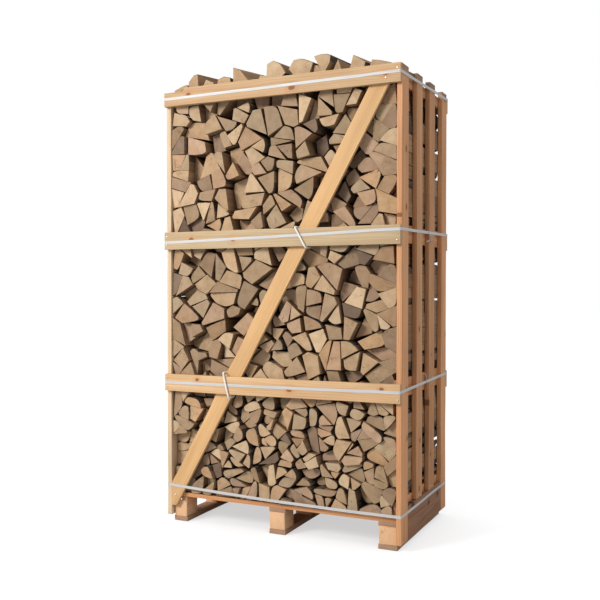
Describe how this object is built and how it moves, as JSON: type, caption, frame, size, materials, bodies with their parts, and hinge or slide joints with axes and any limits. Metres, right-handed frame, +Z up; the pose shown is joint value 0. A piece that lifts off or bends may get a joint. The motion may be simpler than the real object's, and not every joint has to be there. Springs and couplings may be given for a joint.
{
  "type": "crated firewood bundle",
  "caption": "Tall slatted timber crate on a block pallet, filled with split logs stacked end-on and held by flat straps.",
  "frame": {"origin": "on the floor, on the underside of the middle skid, under the middle of the pallet", "axes": "+Z up, front face (the braced face with the twine ties) towards -Y, right side (with the low dark board) towards +X"},
  "size_m": [1.1552, 0.7262, 2.112],
  "materials": {
    "split_logs": "rough split faces, dry, with bark on some sides",
    "strapping_plastic": "smooth white woven-look plastic strap",
    "white_twine": "white twine",
    "weathered_board": "dark sawn softwood",
    "pallet_block": "sawn softwood block, end grain to the front",
    "pine_side_board": "sawn pine, knotted",
    "pine_board": "sawn pine, knotted, with nail heads"
  },
  "bodies": {
    "root": {"back_brace": "pine_board", "back_rail_lower": "pine_board", "back_rail_top": "pine_board", "back_rail_upper": "pine_board", "brace_tie_lower": "white_twine", "brace_tie_upper": "white_twine", "front_brace": "pine_board", "front_rail_lower": "pine_board", "front_rail_top": "pine_board", "front_rail_upper": "pine_board", "left_corner_post_front": "pine_side_board", "left_corner_post_rear": "pine_side_board", "left_side_rail_base": "pine_side_board", "left_side_rail_lower": "pine_side_board", "left_side_rail_top": "pine_side_board", "left_side_rail_upper": "pine_side_board", "left_slat_front": "pine_side_board", "left_slat_rear": "pine_side_board", "logs_back_heap": "split_logs", "logs_back_lower": "split_logs", "logs_back_middle": "split_logs", "logs_back_upper": "split_logs", "logs_front_heap": "split_logs", "logs_front_lower": "split_logs", "logs_front_middle": "split_logs", "logs_front_upper": "split_logs", "pallet_bearer_left": "pine_board", "pallet_bearer_middle": "pine_board", "pallet_bearer_right": "pine_board", "pallet_block_left_back": "pallet_block", "pallet_block_left_centre": "pallet_block", "pallet_block_left_front": "pallet_block", "pallet_block_middle_back": "pallet_block", "pallet_block_middle_centre": "pallet_block", "pallet_block_middle_front": "pallet_block", "pallet_block_right_back": "pallet_block", "pallet_block_right_centre": "pallet_block", "pallet_block_right_front": "pallet_block", "pallet_deck_board_1": "pine_board", "pallet_deck_board_2": "pine_board", "pallet_deck_board_3": "pine_board", "pallet_deck_board_4": "pine_board", "pallet_deck_board_5": "pine_board", "pallet_skid_left": "weathered_board", "pallet_skid_middle": "weathered_board", "pallet_skid_right": "weathered_board", "right_corner_post_front": "pine_side_board", "right_corner_post_rear": "pine_side_board", "right_low_board": "weathered_board", "right_side_rail_base": "pine_side_board", "right_side_rail_lower": "pine_side_board", "right_side_rail_top": "pine_side_board", "right_side_rail_upper": "pine_side_board", "right_slat_front": "pine_side_board", "right_slat_rear": "pine_side_board", "strap_bottom": "strapping_plastic", "strap_lower": "strapping_plastic", "strap_top": "strapping_plastic", "strap_upper": "strapping_plastic"}
  },
  "joints": []
}
